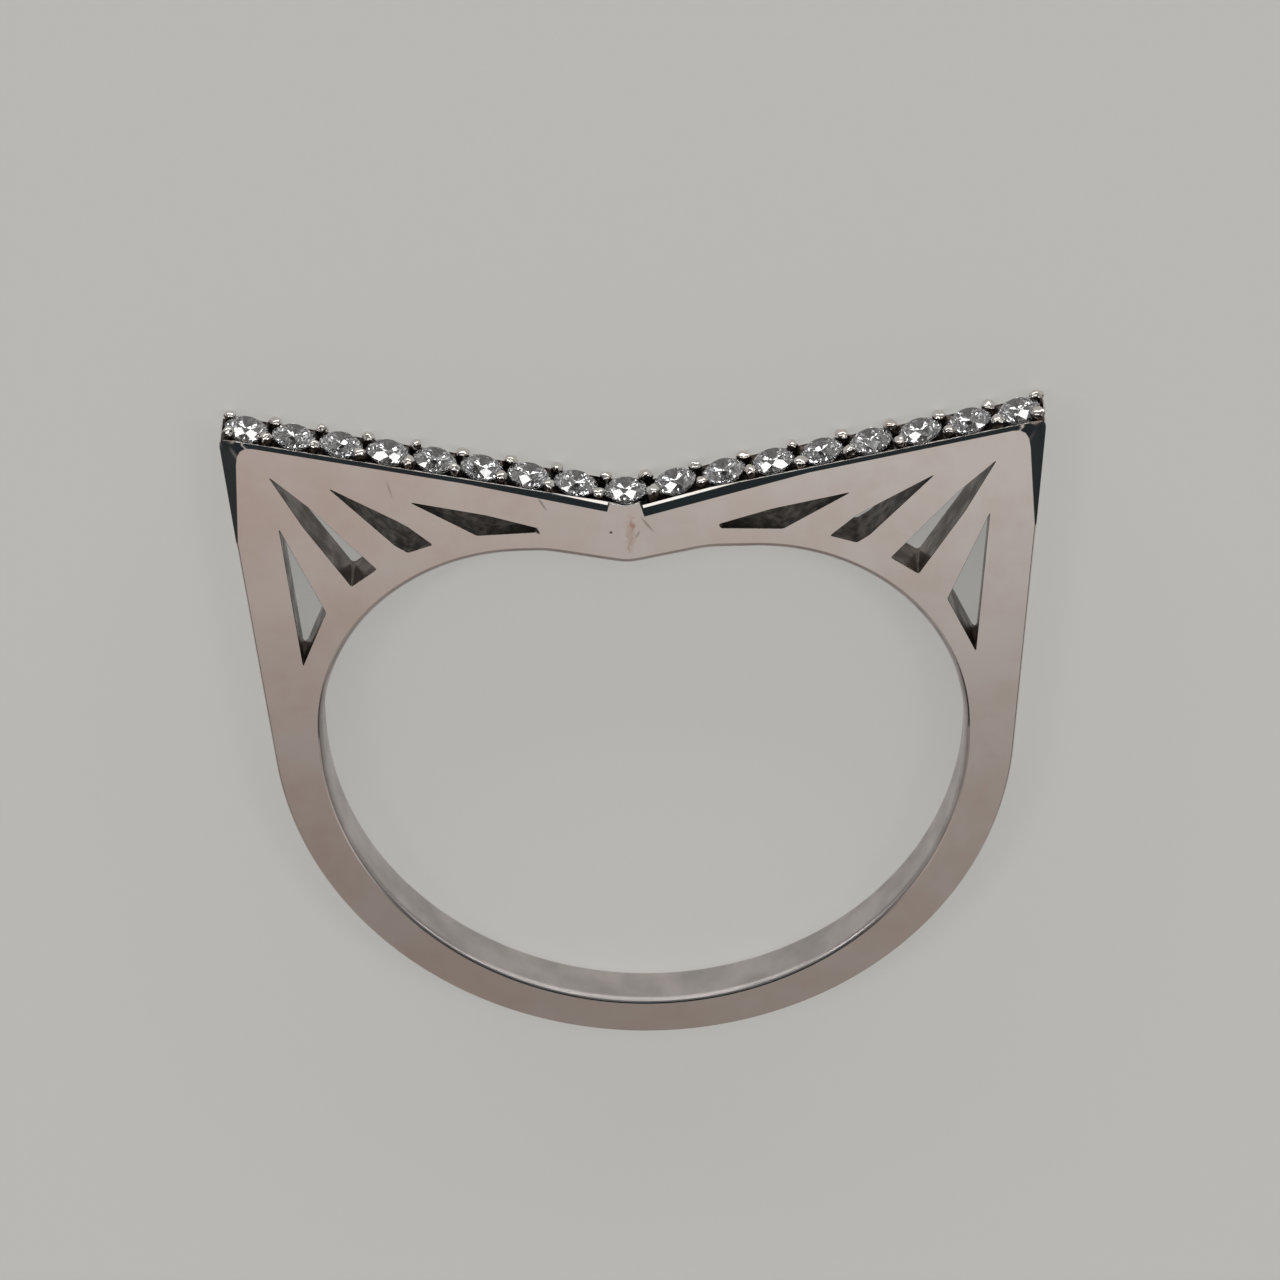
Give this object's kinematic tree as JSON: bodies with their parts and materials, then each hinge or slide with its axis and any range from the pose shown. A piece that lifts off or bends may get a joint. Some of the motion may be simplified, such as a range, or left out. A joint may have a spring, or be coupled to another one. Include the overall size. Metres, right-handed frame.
{
  "type": "stone-set ring",
  "caption": "Narrow finger ring with a V-shaped top, pierced shoulders and a single row of small round brilliant-cut stones held by beads.",
  "frame": {"origin": "middle of the finger hole on the side face that the ring rests on", "axes": "+Z along the finger, out of the resting face; +Y from the finger to the stones; +X across to the shoulder on the right of the stones seen from +Z"},
  "size_m": [0.0222, 0.0199, 0.0014],
  "materials": {
    "white_gold": "polished white gold with fine wear scratches",
    "clear_stone": "clear and polished, cut as a round brilliant"
  },
  "bodies": {
    "root": {"ring_band": "white_gold", "stone_01": "clear_stone", "stone_02": "clear_stone", "stone_03": "clear_stone", "stone_04": "clear_stone", "stone_05": "clear_stone", "stone_06": "clear_stone", "stone_07": "clear_stone", "stone_08": "clear_stone", "stone_09": "clear_stone", "stone_10": "clear_stone", "stone_11": "clear_stone", "stone_12": "clear_stone", "stone_13": "clear_stone", "stone_14": "clear_stone", "stone_15": "clear_stone", "stone_16": "clear_stone", "stone_17": "clear_stone"}
  },
  "joints": []
}
